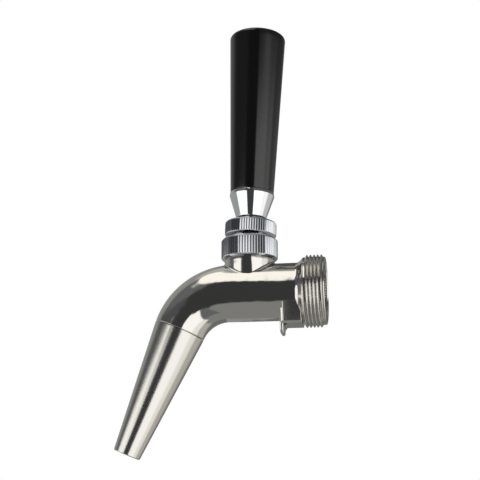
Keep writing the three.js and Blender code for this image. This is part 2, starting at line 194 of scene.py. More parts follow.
def arc(centre_r, centre_z, radius, start, end, steps):
    """Points along an arc in the radius-height plane, angles in degrees."""
    angles = np.radians(np.linspace(start, end, steps + 1))
    points = np.stack([centre_r + radius * np.cos(angles), centre_z + radius * np.sin(angles)], 1)
    points[np.abs(points[:, 0]) < TINY, 0] = 0
    return points


def turned(name, profile, place, radii=None, count=160):
    """A profile turned about z and put in place. It is capped where it meets the axis, and
    closes on itself if it doesn't. radii may give each ring its own radius at each angle."""
    profile = np.asarray(profile, float)
    poled = profile[0, 0] < TINY and profile[-1, 0] < TINY
    rings = profile[1:-1] if poled else profile
    radii = rings[:, :1] * np.ones((1, count)) if radii is None else radii
    angles = np.arange(count) * TAU / count
    heights = rings[:, 1:] * np.ones((1, count))
    grid = np.stack([radii * np.cos(angles), radii * np.sin(angles), heights], -1)
    vertices = grid.reshape(-1, 3)
    faces = quads(len(rings), count, closed=not poled)
    if poled:
        poles = [[0, 0, profile[0, 1]], [0, 0, profile[-1, 1]]]
        first, last, end = len(vertices), len(vertices) + 1, (len(rings) - 1) * count
        vertices = np.vstack([vertices, poles])
        for j in range(count):
            k = (j + 1) % count
            faces += [(k, j, first), (end + j, end + k, last)]
    return mesh_object(name, place(vertices), faces)


def prism(name, outline, low, high, place, edge=0.0):
    """A closed outline of (x, y) pairs drawn out from one height to another. With an edge
    radius, the outline draws in towards its middle at both ends, so they are rounded over."""
    outline = np.asarray(outline, float)
    middle = (outline.max(0) + outline.min(0)) / 2
    reach = np.abs(outline - middle).max()
    turns = np.linspace(0, math.pi / 2, 6) if edge else [0]
    levels = [(low + edge * (1 - math.cos(t)), edge * (1 - math.sin(t))) for t in turns]
    levels += [(low + high - height, inset) for height, inset in reversed(levels)]
    count = len(outline)
    rows = []
    for height, inset in levels:
        drawn = middle + (outline - middle) * (1 - inset / reach)
        rows.append(np.hstack([drawn, np.full((count, 1), height)]))
    last = (len(levels) - 1) * count
    faces = quads(len(levels), count)
    faces += [tuple(reversed(range(count))), tuple(range(last, last + count))]
    return mesh_object(name, place(np.vstack(rows)), faces)


def standing(origin, axis):
    """Puts local z along an axis through a point, and keeps local x along the world's X."""
    across = np.cross(axis, [1.0, 0.0, 0.0])
    basis = np.array([[1.0, 0.0, 0.0], across, axis])
    return lambda points: np.asarray(points, float) @ basis + origin


def along_body(bend_radius):
    """Puts local z along the bent centreline of the body, and local y upwards at its start."""
    sweep = ELBOW["sweep"]
    start = ELBOW["corner"] - bend_radius * math.tan(sweep / 2)

    def place(points):
        x, up, along = np.asarray(points, float).T
        turn = np.clip((along - start) / bend_radius, 0, sweep)
        after = np.maximum(along - start - bend_radius * sweep, 0)
        reach = (bend_radius + up) * np.sin(turn) + np.minimum(along, start)
        height = (bend_radius + up) * np.cos(turn) - bend_radius
        y, z = -(reach + after * np.cos(turn)), height - after * np.sin(turn)
        return np.stack([x, y, z], 1)

    return place


def wall(share):
    """Radius of the elbow at a share of its length, tapering from the tube to the spout's."""
    taper = share ** 2 * (1 + TAPER_BLEND) / (share + TAPER_BLEND)
    return TUBE["radius"] + (JOINT_RADIUS - TUBE["radius"]) * taper


def joint_distance(bend_radius):
    """Length of such a centreline from the rear face to the face where the spout starts."""
    tangent = bend_radius * math.tan(ELBOW["sweep"] / 2)
    return ELBOW["corner"] + ELBOW["joint"] - 2 * tangent + bend_radius * ELBOW["sweep"]


# ---------------------------------------------------------------- joining closed meshes


def tag_faces(piece, number):
    """Marks which source a face comes from, in its material index."""
    while len(piece.data.materials) <= number:
        piece.data.materials.append(None)
    piece.data.polygons.foreach_set("material_index", [number] * len(piece.data.polygons))


def combine(target, other, operation):
    """Joins or cuts target by other, both closed meshes."""
    change = target.modifiers.new(operation, "BOOLEAN")
    change.operation = operation
    change.solver = "MANIFOLD"
    change.object = other
    bpy.context.view_layer.update()
    graph = bpy.context.evaluated_depsgraph_get()
    result = bpy.data.meshes.new_from_object(target.evaluated_get(graph))
    target.modifiers.clear()
    target.data = result


def corner_table(piece):
    """A search tree over a smoothly shaded mesh, with its triangles and corner normals."""
    mesh = piece.data
    mesh.calc_loop_triangles()
    triangles = [tuple(t.vertices) for t in mesh.loop_triangles]
    loops = np.array([tuple(t.loops) for t in mesh.loop_triangles])
    normals = np.array([n.vector[:] for n in mesh.corner_normals])
    points = np.array([v.co[:] for v in mesh.vertices])
    tree = BVHTree.FromPolygons([Vector(p) for p in points], triangles)
    return tree, points[np.array(triangles)], normals[loops]


def source_normal(table, point):
    """The normal that the source mesh is shaded with at the point nearest to this one."""
    tree, corners, normals = table
    near, _, index, _ = tree.find_nearest(point)
    a, b, c = corners[index]
    first, second, to = b - a, c - a, np.array(near[:]) - a
    d00, d01, d11 = first @ first, first @ second, second @ second
    d20, d21 = to @ first, to @ second
    span = max(d00 * d11 - d01 * d01, 1e-30)
    v, w = (d11 * d20 - d01 * d21) / span, (d00 * d21 - d01 * d20) / span
    normal = normals[index].T @ np.array([1 - v - w, v, w])
    return normal / max(np.linalg.norm(normal), TINY)


def shade_as_sources(piece, sources):
    """Gives every face corner the normal of the source surface that the face was cut from."""
    tables = [corner_table(source) for source in sources]
    mesh = piece.data
    mesh.polygons.foreach_set("use_smooth", [True] * len(mesh.polygons))
    normals = np.zeros((len(mesh.loops), 3))
    for face in mesh.polygons:
        facing, table = np.array(face.normal[:]), tables[face.material_index]
        for loop in face.loop_indices:
            corner = mesh.vertices[mesh.loops[loop].vertex_index].co
            normal = source_normal(table, corner.lerp(face.center, 0.02))
            normal *= 1 if normal @ facing > 0 else -1
            normals[loop] = normal if normal @ facing > 0.5 else facing
    mesh.normals_split_custom_set(normals.tolist())


def carved(name, joined, cutters):
    """One closed mesh of the joined ones less the cutters, shaded as they were. The material
    index of each face is the number of the mesh it comes from."""
    sources = joined + cutters
    for number, source in enumerate(sources):
        smooth(source)
        tag_faces(source, number)
    made = add_object(name, joined[0].data.copy())
    for _ in sources[1:]:
        made.data.materials.append(None)
    for other in joined[1:]:
        combine(made, other, "UNION")
    for other in cutters:
        combine(made, other, "DIFFERENCE")
    shade_as_sources(made, sources)
    for source in sources:
        bpy.data.objects.remove(source)
    return made


# ---------------------------------------------------------------- body


def body_skin():
    """Rim, thread core, flare, tube and elbow as one bent turning."""
    bend_start = ELBOW["corner"] - ELBOW["radius"] * math.tan(ELBOW["sweep"] / 2)
    end = joint_distance(ELBOW["radius"])
    edge_along, edge_across = 0.15, 0.12
    flare = arc(TUBE["back_radius"] + TUBE["flare"], TUBE["start"], TUBE["flare"], 225, 180, 10)
    shoulder = flare[0].sum() - CORE_RADIUS
    rear = rounded([(0, 0), (RIM["radius"], 0, RIM["edge"]), (RIM["radius"], RIM["length"], 0.15),
                    (CORE_RADIUS, RIM["length"] + 0.3), (CORE_RADIUS, shoulder, 0.4), tuple(flare[0])], 5)
    share = np.linspace(0, 1, 61)[:, None]
    elbow = np.hstack([wall(share), bend_start + (end - edge_along - bend_start) * share])
    tube = resampled(np.array([flare[-1], elbow[0]]), 2.0)
    tip = [[JOINT_RADIUS - edge_across, end], [0, end]]
    profile = np.vstack([rear, flare[1:], tube[1:], elbow[1:], tip])
    return turned("skin", profile, along_body(ELBOW["radius"]), count=192)


def thread_ridge():
    """Right-hand ridge with a rounded crest, sunk into the core at its ends."""
    pitch, crest, depth = THREAD["pitch"], THREAD["crest"], THREAD["depth"]
    half, floor = THREAD["half_width"], -depth - THREAD["sunk"]
    across = np.linspace(-half, half, 17)
    waves = -depth * np.sin(math.pi * across) ** 2
    section = [(-half, floor), *zip(across, waves), (half, floor)]
    turns = (THREAD["end"] - THREAD["start"]) / pitch
    steps = round(turns * 96)
    rows = []
    for i in range(steps + 1):
        share = i / steps
        fade = min(1.0, 0.05 + 14 * min(share, 1 - share))
        along = THREAD["start"] + share * turns * pitch
        angle = TAU * (along - THREAD["top_crest"]) / pitch
        for sideways, out in section:
            radius = crest - depth * (1 - fade) + out * (fade if out > -depth else 1)
            ahead = along + sideways * pitch * fade
            rows.append((-radius * math.sin(angle), -ahead, radius * math.cos(angle)))
    count = len(section)
    faces = quads(steps + 1, count)
    faces += [tuple(range(count)), tuple(steps * count + j for j in range(count))]
    return mesh_object("ridge", rows, faces)


def mirrored(half):
    """A closed outline from its right half, listed from the top down."""
    return half + [(-corner[0], *corner[1:]) for corner in reversed(half)]


def pad_outline(inset, drop):
    """Outline of the pad, whose upper corners may be moved inwards and down."""
    right = [(BORE_RADIUS + SPARE, PAD["inner"]),
             (PAD["half_top"] - inset, PAD["top"] - drop, PAD["side_edge"]),
             (PAD["half_bottom"], PAD["bottom"], PAD["under_edge"])]
    return rounded(mirrored(right), 8)


def pad_and_lug():
    """Cast pad under the tube, the lug plate at its front, the pad's swell into the plate and
    the fillet under it."""
    forward = standing(ORIGIN, FORWARD)
    back, front, half, bottom, under = LUG["back"], LUG["front"], LUG["half"], LUG["bottom"], PAD["bottom"]
    pad = prism("pad", pad_outline(0, 0), PAD["back"], back, forward, PAD["end_edge"])
    swell = prism("swell", pad_outline(SWELL["inset"], SWELL["drop"]), back - SWELL["behind"],
                  front - SWELL["short"], forward, SWELL["edge"])
    right = [(LUG["shoulder"], LUG["inner"]), (LUG["shoulder"], LUG["waist"], LUG["waist_fillet"]),
             (half, bottom + LUG["corner"], 0.8), (half - 1, bottom, 0.5)]
    plate = prism("plate", rounded(mirrored(right), 5), back, front, forward, LUG["edge"])
    turn, sunk = LUG["fillet"], 0.4
    foot = [(back + sunk, under + SPARE), (back - turn, under + SPARE), (back - turn, under)]
    foot += [tuple(p) for p in arc(back - turn, under - turn, turn, 90, 0, 12)]
    foot += [(back + sunk, under - turn)]
    sideways = lambda points: points[:, [2, 0, 1]] * [-1, -1, 1]
    fillet = prism("fillet", foot, 0.5 - half, half - 0.5, sideways)
    return pad, plate, swell, fillet


def neck():
    """Stub that carries the bonnet, with a sharp root where it meets the tube."""
    seat, top = PIVOT[2] + BONNET["bottom"], PIVOT[2] + NECK["top"]
    foot, thread, chamfer = NECK["foot"], NECK["thread"], NECK["chamfer"]
    profile = rounded([(0, NECK["start"]), (foot, NECK["start"]), (foot, NECK["foot_end"]),
                       (NECK["radius"], seat - 0.1, 0.1), (thread, seat), (thread, top - chamfer),
                       (thread - chamfer, top), (0, top)])
    return turned("neck", resampled(profile, 1.5), standing(PIVOT * [1, 1, 0], UP), count=192)


def tube_gap(x, forward, z):
    """Distance from the tube's surface, and the direction towards its centreline."""
    radius, sweep = ELBOW["radius"], ELBOW["sweep"]
    start = ELBOW["corner"] - radius * math.tan(sweep / 2)
    past = max(forward - start, 0)
    swing = math.hypot(past, z + radius)
    share = math.atan2(past, z + radius) * radius / (joint_distance(radius) - start)
    ahead, height = min(forward, start) + radius * past / swing, radius * (z + radius) / swing - radius
    inward = np.array([0, ahead, height]) - [x, forward, z]
    length = np.linalg.norm(inward)
    return length - wall(share), inward / length


def neck_fillet(radius):
    """Fillet along the crease between neck and tube, as a ball rolled round it would leave."""
    rows, count, steps, spare = [], 192, 14, math.radians(4)
    reach = (NECK["radius"] + NECK["foot"]) / 2 + radius
    search_top, halvings, sunk = 25.0, 40, 0.7
    for i in range(count):
        x, ahead = math.cos(TAU * i / count), -math.sin(TAU * i / count)
        low, high = 0.0, search_top
        for _ in range(halvings):
            z = (low + high) / 2
            gap, inward = tube_gap(reach * x, reach * ahead - PIVOT[1], z)
            low, high = (z, high) if gap < radius else (low, z)
        centre = np.array([reach * x, reach * ahead - PIVOT[1], z])
        neckward = np.array([-x, -ahead, 0])
        turn = math.acos(float(neckward @ inward))
        for angle in np.linspace(-spare, turn + spare, steps):
            blend = (math.sin(turn - angle) * neckward + math.sin(angle) * inward) / math.sin(turn)
            rows.append(centre + blend * radius)
        rows.append(centre + (neckward + inward) * (radius + sunk))
    return mesh_object("neck_fillet", np.array(rows) * [1, -1, 1], quads(count, steps + 1, closed=True))


def beer_way():
    """Mouth, washer seat, shuttle bore, seat cone, curved outlet and the spout's socket."""
    end = joint_distance(OUTLET_BEND)
    outlet_end = end - SOCKET["depth"]
    mouth, relief, seat = MOUTH["radius"], MOUTH["relief"], MOUTH["seat"]
    corners = [(0, -SPARE), (mouth + SPARE, -SPARE),
               (mouth, SPLINES["start"], 0.4), (mouth, MOUTH["straight"]),
               (relief, MOUTH["cone_end"]), (relief, MOUTH["relief_end"]),
               (SPLINES["tip"], MOUTH["relief_end"]), (SPLINES["tip"], seat),
               (BORE_RADIUS + CHAMFER, seat), (BORE_RADIUS, seat + CHAMFER),
               (BORE_RADIUS, SEAT_START), (OUTLET_RADIUS, SEAT_END)]
    curve = resampled(np.array([(OUTLET_RADIUS, SEAT_END), (OUTLET_RADIUS, outlet_end)]), 0.8)
    socket, past = SOCKET["radius"], 0.2
    tail = [(socket, outlet_end), (socket, end - CHAMFER), (socket + CHAMFER + past, end + past),
            (0, end + SPARE)]
    profile = np.vstack([rounded(corners), curve[1:], tail])
    return turned("way", profile, along_body(OUTLET_BEND), count=96)


def spline_grooves():
    """Cutter for the grooves inside the mouth, a tooth for each groove."""
    count = SPLINES["count"]
    pinch = (0, 0.25, -0.25, 0)
    outline = []
    for i in range(4 * count):
        radius = SPLINES["root"] if pinch[i % 4] else SPLINES["tip"] - 0.05
        angle = TAU * (i + pinch[i % 4]) / (4 * count)
        outline.append((radius * math.cos(angle), radius * math.sin(angle)))
    return prism("grooves", outline, SPLINES["start"], SPLINES["end"], standing(ORIGIN, FORWARD))


def lever_hole():
    """Cutter for the ball's counterbore in the neck and the hole under it."""
    floor, top = PIVOT[2] + LEVER_HOLE["floor"], PIVOT[2] + NECK["top"]
    hole, wide, past = LEVER_HOLE["radius"], LEVER_HOLE["counterbore"], 0.5
    profile = rounded([(0, 0), (hole, 0), (hole, floor), (wide, floor), (wide, top - CHAMFER),
                       (wide + CHAMFER + past, top + past), (0, top + SPARE)])
    return turned("hole", profile, standing(PIVOT * [1, 1, 0], UP), count=96)


def make_body():
    """The body as one closed mesh. Its pad, lug, thread and bores have material index 1."""
    pad, *others = pad_and_lug()
    joined = [body_skin(), neck(), neck_fillet(NECK_FILLET), pad, *others, thread_ridge()]
    first_machined = joined.index(pad)
    made = carved("tap_body", joined, [beer_way(), spline_grooves(), lever_hole()])
    for face in made.data.polygons:
        face.material_index = int(face.material_index >= first_machined)
    return made


# ---------------------------------------------------------------- the other pieces


def knurled(name, profile, radius, axis):
    """A profile turned about the pivot, whose outside at this radius has a straight knurl."""
    outside = profile[:, 0] > radius - TINY
    ends = np.flatnonzero(outside)[[0, -1]]
    keep = ~outside
    keep[ends] = True
    profile = profile[keep]
    count = KNURL["count"] * KNURL["samples"]
    angles = np.arange(count) * TAU / count
    flute = radius - KNURL["depth"] * (1 - np.abs(1 - angles * KNURL["count"] / math.pi % 2))
    radii = np.minimum(profile[:, :1], flute[None, :])
    return turned(name, profile, standing(PIVOT, axis), radii, count)


def make_bonnet():
    b = BONNET
    radius, bottom, top, chamfer = b["radius"], b["bottom"], b["top"], b["chamfer"]
    profile = rounded([(b["bore"], bottom), (radius - chamfer, bottom, 0.2), (radius, bottom + chamfer, 0.25),
                       (radius, top - b["top_chamfer"] - 0.1, 0.4), (radius - b["top_chamfer"], top, 0.3),
                       (b["high"], top, 0.3), (b["low"], b["lip"], 0.3), (b["bore"], b["lip"])], 5)
    return knurled("bonnet_nut", resampled(profile, 0.12), radius, UP)


def make_collar():
    c, hub = COLLAR, COLLAR_HUB
    radius, top, chamfer = c["radius"], c["top"], c["chamfer"]
    start, end = (math.degrees(math.acos(r / c["sweep"])) for r in (c["bore"], radius - chamfer))
    under = arc(0, 0, c["sweep"], start, end, 24)
    outside = rounded([tuple(under[-1]), (radius, under[-1][1] + chamfer, 0.15),
                       (radius, top - c["top_chamfer"] - 0.1, 0.3), (radius - c["top_chamfer"], top, 0.25),
                       (hub["radius"], top, 0.15), (hub["radius"], hub["top"], 0.25),
                       (c["bore"], hub["top"], 0.1), (c["bore"], under[0][1] + 0.2)], 5)
    profile = np.vstack([under[:-1], resampled(outside, 0.12)])
    return knurled("lock_ring", profile, radius, LEVER_AXIS)


def make_ferrule():
    f, bore = FERRULE, COLLAR["bore"]
    rod_floor = LEVER["rod_end"] + 0.3
    profile = rounded([(bore, f["foot"] + 0.4), (bore + 0.2, f["foot"]), (f["foot_radius"], f["foot"], 0.25),
                       (f["radius"], f["widest"], 0.3), (f["top_radius"], f["top"], 0.1),
                       (BOLT_BORE, f["top"]), (BOLT_BORE, rod_floor), (bore, rod_floor)], 6)
    return turned("handle_ferrule", resampled(profile, 1.0), standing(PIVOT, LEVER_AXIS), count=192)


def make_handle():
    h, bore = HANDLE, HANDLE_BORE
    side = rounded([(0, bore["end"] + bore["cone"]), (bore["radius"], bore["end"]),
                    (bore["radius"], h["foot"]),
                    (h["foot_radius"] - 0.1, h["foot"], 0.1), (h["foot_radius"], h["foot"] + 0.3, 0.2),
                    (h["rim_radius"], h["rim"])], 6)
    corner = arc(h["rim_radius"] - h["corner"], h["rim"], h["corner"], 0, 75, 14)
    reach, height = corner[-1]
    rise = h["rim"] + h["corner"] + h["dome"] - height
    radii = reach * (1 - np.linspace(0, 1, 16)[1:, None])
    dome = np.hstack([radii, height + rise * (1 - (radii / reach) ** 2)])
    dome[-1, 0] = 0
    profile = np.vstack([resampled(side, 2.0), corner[1:], dome])
    return turned("handle_grip", profile, standing(PIVOT, LEVER_AXIS), count=192)


def threaded(profile, radius, low, high):
    """Ring radii of a profile with the rod's right-hand thread cut between two heights."""
    pitch, samples = ROD_THREAD["pitch"], ROD_THREAD["samples"]
    angles = np.arange(samples) * TAU / samples
    heights = profile[:, 1:]
    phase = (heights / pitch - angles[None, :] / TAU) % 1
    groove = ROD_THREAD["depth"] * np.clip(1.15 * np.abs(2 * phase - 1) - 0.1, 0, 1)
    inside = np.clip(np.minimum(heights - low, high - heights) / pitch, 0, 1)
    return np.where(profile[:, :1] > radius - TINY, radius - groove * inside, profile[:, :1])


def make_lever():
    v, f = LEVER, FINGER
    meetings = (f["radius"], f["tip"]), (f["radius"], v["ball"]), (v["neck"], v["ball"])
    tip_meet, finger_meet, neck_meet = (math.degrees(math.acos(a / b)) for a, b in meetings)
    thread_start, end = v["neck_end"] + ROD_THREAD["runout"], v["rod_end"]
    rod = rounded([(v["neck"], v["neck_end"], 0.3), (v["rod"], thread_start), (v["rod"], end - 0.6),
                   (v["rod"] - 0.6, end), (0, end)])
    profile = np.vstack([arc(0, -f["length"], f["tip"], -90, tip_meet, 20),
                         arc(0, 0, v["ball"], -finger_meet, neck_meet, 48),
                         [(v["neck"], v["neck_start"]), (v["neck"], v["neck_end"] - 0.4)],
                         resampled(rod, 0.2)])
    radii = threaded(profile[1:-1], v["rod"], thread_start, end - 0.4)
    return turned("ball_lever", profile, standing(PIVOT, LEVER_AXIS), radii, ROD_THREAD["samples"])


def make_spout():
    s, g = SPOUT, SPIGOT
    slot, width = JOINT_RADIUS - SEAM["depth"], SEAM["width"]
    profile = rounded([(s["bore"], -g["length"]), (g["radius"] - 0.3, -g["length"]),
                       (g["radius"], 0.3 - g["length"]), (g["radius"], g["groove_top"]),
                       (g["groove"], g["groove_top"]), (g["groove"], g["groove_end"]),
                       (g["radius"], g["groove_end"]), (g["radius"], g["shoulder"]),
                       (slot, g["shoulder"]), (slot, width), (JOINT_RADIUS - 0.1, width),
                       (JOINT_RADIUS, width + 0.1), (s["tip"], s["length"] - 0.3),
                       (s["tip"] - 0.25, s["length"], 0.1), (s["tip_bore"], s["length"], 0.2)])
    return turned("cone_spout", resampled(profile, 1.5), standing(SPOUT_TOP, SPOUT_AXIS), count=192)


def make_washer():
    inner, outer, start, end, edge = WASHER.values()
    profile = rounded([(inner, start, edge), (outer, start, edge), (outer, end, edge), (inner, end, edge),
                       (inner, start + 0.4)], 5)
    return turned("rear_washer", profile, standing(ORIGIN, FORWARD), count=128)


def make_shuttle():
    """Stem, guide with three beer ways, carriage with the finger's pocket, and the nose."""
    place = standing(ORIGIN, FORWARD)
    pivot = -PIVOT[1]
    g, c, n = GUIDE, CARRIAGE, NOSE
    back, front = pivot - c["behind"], pivot + c["ahead"]
    profile = rounded([(0, g["start"]), (g["radius"], g["start"], 0.4), (g["radius"], g["end"], 0.3),
                       (STEM_RADIUS, g["end"] + g["taper"], 0.3), (STEM_RADIUS, back, 0.2),
                       (c["radius"], back, 0.3), (c["radius"], front, 0.3), (STEM_RADIUS, front, 0.2),
                       (STEM_RADIUS, n["start"], 0.4), (n["flange_radius"], n["flange"], 0.2),
                       (n["flange_radius"], n["flange_end"], 0.2), (n["groove"], n["groove_start"]),
                       (n["groove"], n["groove_end"]), (n["lip"], n["groove_end"] + 0.1),
                       (n["lip"], n["lip_end"], 0.2), (n["tip"], n["end"], 0.2), (0, n["end"])], 5)
    stem = turned("stem", profile, place, count=128)

    def block(half_x, low, high, half_along, centre):
        outline = [(-half_x, low), (half_x, low), (half_x, high), (-half_x, high)]
        return prism("block", outline, centre - half_along, centre + half_along, place)

    wide, far, half_along, middle = 8.0, 9.0, (front - back) / 2 + 0.1, (back + front) / 2
    finger = pivot + FINGER["length"] * LEVER_AXIS[1]
    cutters = [block(wide, c["top"], far, half_along, middle),
               block(wide, -far, c["bottom"], half_along, middle),
               block(c["pocket"], c["pocket_floor"], far, c["pocket"], finger)]
    low, high, radius = g["start"] - SPARE, g["end"] + 1.5, g["way_radius"]
    for degrees in (90, 210, 330):
        angle = math.radians(degrees)
        centre = place([[g["way_centre"] * math.cos(angle), g["way_centre"] * math.sin(angle), 0]])[0]
        way = [(0, low), (radius, low), (radius, high), (0, high)]
        cutters.append(turned("way", way, standing(centre, FORWARD), count=48))
    return carved("bore_stem", [stem], cutters)


# ---------------------------------------------------------------- materials


def feed(tree, target, inputs):
    """Sets a node's inputs, each to a value or to another node's output."""
    for key, value in inputs.items():
        if isinstance(value, bpy.types.NodeSocket):
            tree.links.new(value, target.inputs[key])
        else:
            target.inputs[key].default_value = value


def node(tree, kind, inputs, **settings):
    """A shader node with its settings and inputs."""
    made = tree.nodes.new(kind)
    for name, value in settings.items():
        setattr(made, name, value)
    feed(tree, made, inputs)
    return made


def maths(tree, operation, *values):
    return node(tree, "ShaderNodeMath", dict(enumerate(values)), operation=operation).outputs[0]


def mix(tree, factor, first, second):
    """A blend of two colours, each a colour or another node's output."""
    inputs = {"Factor": factor, "A": first, "B": second}
    return node(tree, "ShaderNodeMix", inputs, data_type="RGBA").outputs["Result"]


def material(name):
    made = bpy.data.materials.new(name)
    made.use_nodes = True
    tree = made.node_tree
    return made, tree, tree.nodes["Principled BSDF"]


def place_in_mm(tree):
    """Object coordinates in millimetres."""
    coordinates = node(tree, "ShaderNodeTexCoord", {}).outputs["Object"]
    inputs = {"Vector": coordinates, "Scale": (1 / MM,) * 3}
    return node(tree, "ShaderNodeMapping", inputs, vector_type="POINT").outputs[0]


def noise(tree, vector, scale, detail=2.0, roughness=0.5):
    """Noise from 0 to 1, its scale in cycles per millimetre."""
    inputs = {"Vector": vector, "Scale": scale, "Detail": detail, "Roughness": roughness}
    return node(tree, "ShaderNodeTexNoise", inputs).outputs["Fac"]


def between(tree, value, low, high):
    """A value from 0 to 1 spread over another range."""
    return node(tree, "ShaderNodeMapRange", {0: value, 3: low, 4: high}).outputs[0]


def bump(tree, height, distance):
    """A normal from a height between 0 and 1, worth a distance in millimetres."""
    inputs = {"Height": height, "Distance": distance * MM, "Strength": 1.0}
    return node(tree, "ShaderNodeBump", inputs).outputs["Normal"]


def turning_marks(tree, position, axis):
    """Fine lines that run round an axis, not quite straight."""
    product = node(tree, "ShaderNodeVectorMath", {0: position, 1: tuple(axis)}, operation="DOT_PRODUCT")
    wobble = maths(tree, "MULTIPLY", noise(tree, position, 0.25, 1.0), 0.5)
    inputs = {"W": maths(tree, "ADD", product.outputs["Value"], wobble), "Scale": 3.0, "Detail": 3.0}
    return node(tree, "ShaderNodeTexNoise", inputs, noise_dimensions="1D").outputs["Fac"]


def metal(name, colour, roughness, variation, wave=0.0, grain=0.0, axis=None):
    """Metal with uneven polish. A wave gives it a soft ripple, and a grain turning marks
    that run round an axis, both with their depth in millimetres."""
    made, tree, shader = material(name)
    position = place_in_mm(tree)
    smear = noise(tree, position, 0.12, 3.0)
    speckle = noise(tree, position, 2.5, 4.0)
    uneven = maths(tree, "ADD", maths(tree, "MULTIPLY", smear, 0.7), maths(tree, "MULTIPLY", speckle, 0.3))
    tint = mix(tree, uneven, (*[c * 0.93 for c in colour], 1), (*colour, 1))
    polish = between(tree, uneven, roughness - variation, roughness + variation)
    feed(tree, shader, {"Metallic": 1.0, "Base Color": tint, "Roughness": polish})
    if wave:
        feed(tree, shader, {"Normal": bump(tree, noise(tree, position, 0.16, 1.0), wave)})
    if grain:
        feed(tree, shader, {"Normal": bump(tree, turning_marks(tree, position, axis), grain)})
    return made


def glossy_plastic(name, colour, roughness, ripple=0.01, ior=1.5):
    """Moulded plastic with uneven gloss and a slight ripple, its depth in millimetres."""
    made, tree, shader = material(name)
    position = place_in_mm(tree)
    gloss = between(tree, noise(tree, position, 0.15, 3.0), roughness * 0.85, roughness * 1.15)
    normal = bump(tree, noise(tree, position, 0.35), ripple)
    feed(tree, shader, {"Base Color": (*colour, 1), "Roughness": gloss, "IOR": ior, "Normal": normal})
    return made


def rubber(name, colour, roughness):
    """Matt moulded rubber with a fine grit and a pale bloom."""
    made, tree, shader = material(name)
    position = place_in_mm(tree)
    grit = noise(tree, position, 6.0, 4.0, 0.7)
    bloom = noise(tree, position, 0.4, 3.0)
    paler = [min(1, c * 1.5 + 0.01) for c in colour]
    shade = mix(tree, bloom, (*colour, 1), (*paler, 1))
    matt = between(tree, grit, roughness - 0.12, roughness + 0.12)
    feed(tree, shader, {"Base Color": shade, "Roughness": matt, "Normal": bump(tree, grit, 0.02)})
    return made


polished_steel = metal("polished_steel", (0.66, 0.64, 0.60), 0.09, 0.03, wave=0.22)
satin_steel = metal("satin_steel", (0.66, 0.64, 0.60), 0.19, 0.03, grain=0.008, axis=SPOUT_AXIS)
turned_steel = metal("turned_steel", (0.62, 0.61, 0.58), 0.26, 0.05, grain=0.006, axis=UP)
bore_steel = metal("bore_steel", (0.62, 0.61, 0.58), 0.26, 0.05, grain=0.006, axis=FORWARD)
machined_steel = metal("machined_steel", (0.69, 0.67, 0.63), 0.18, 0.03, grain=0.001, axis=FORWARD)
chrome = metal("chrome", (0.80, 0.81, 0.83), 0.05, 0.02)
knurled_chrome = metal("knurled_chrome", (0.60, 0.61, 0.635), 0.10, 0.03)
brass = metal("brass", (0.80, 0.58, 0.26), 0.25, 0.06, grain=0.004, axis=UP)
black_plastic = glossy_plastic("black_plastic", (0.0045, 0.0045, 0.005), 0.15, ior=1.6)
black_rubber = rubber("black_rubber", (0.012, 0.012, 0.013), 0.62)
white_rubber = rubber("white_rubber", (0.78, 0.76, 0.70), 0.5)
acetal = glossy_plastic("white_acetal", (0.86, 0.85, 0.80), 0.38, 0.015)


def dress(piece, body, slot, look, *nodes, machined=None):
    """Gives a piece its body, its look and the nodes it stands for; its record slot is not used. Faces
    with material index 1 get the machined look, if there is one."""
    faces = piece.data.polygons
    indices = [face.material_index if machined else 0 for face in faces]
    piece.data.materials.clear()
    for each in (look, machined) if machined else (look,):
        piece.data.materials.append(each)
    faces.foreach_set("material_index", indices)
    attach(piece, body)
    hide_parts(*nodes)


dress(make_body(), "faucet", "polished_steel", polished_steel, "body", machined=machined_steel)
dress(smooth(make_spout()), "spout", "satin_steel", satin_steel, "spout")
dress(smooth(make_bonnet(), 40), "bonnet", "chrome", knurled_chrome, "bonnet")
dress(smooth(make_collar(), 40), "lever_collar", "chrome", knurled_chrome, "lever_collar")
dress(smooth(make_ferrule()), "handle", "chrome", chrome, "ferrule")
dress(smooth(make_handle()), "handle", "black_plastic", black_plastic, "handle")
dress(smooth(make_lever()), "lever", "turned_steel", turned_steel, "lever")
dress(smooth(make_washer()), "faucet", "black_rubber", black_rubber, "coupling_washer")
dress(make_shuttle(), "shuttle", "turned_steel", bore_steel, "shuttle")

# Looks of the hidden pieces that keep their CAD meshes.
LOOKS = {"spout_ring": black_rubber, "front_seal_ring": black_rubber, "ball_seal_ring": black_rubber,
         "bearing_cup": acetal, "friction_washer": white_rubber, "threaded_insert": brass,
         "hanger_bolt": turned_steel}
for name, look in LOOKS.items():
    for slot in bpy.data.objects[name].material_slots:
        slot.material = look

# ---------------------------------------------------------------- studio and camera

CAMERA = {"azimuth": math.radians(98.3), "elevation": math.radians(-15.16), "distance": 0.4312,
          "lens": 80.86, "target": (0, -0.034132, 0.021844)}


def add_camera():
    turn, rise = CAMERA["azimuth"], CAMERA["elevation"]
    back = Vector((math.sin(turn) * math.cos(rise), -math.cos(turn) * math.cos(rise), math.sin(rise)))
    right = Vector((math.cos(turn), math.sin(turn), 0))
    data = bpy.data.cameras.new("camera")
    data.sensor_width = 36
    data.lens = CAMERA["lens"]
    data.clip_start = 0.01
    camera = add_object("camera", data)
    camera.matrix_world = Matrix((right, back.cross(right), back)).transposed().to_4x4()
    camera.matrix_world.translation = Vector(CAMERA["target"]) + back * CAMERA["distance"]
    bpy.context.scene.camera = camera


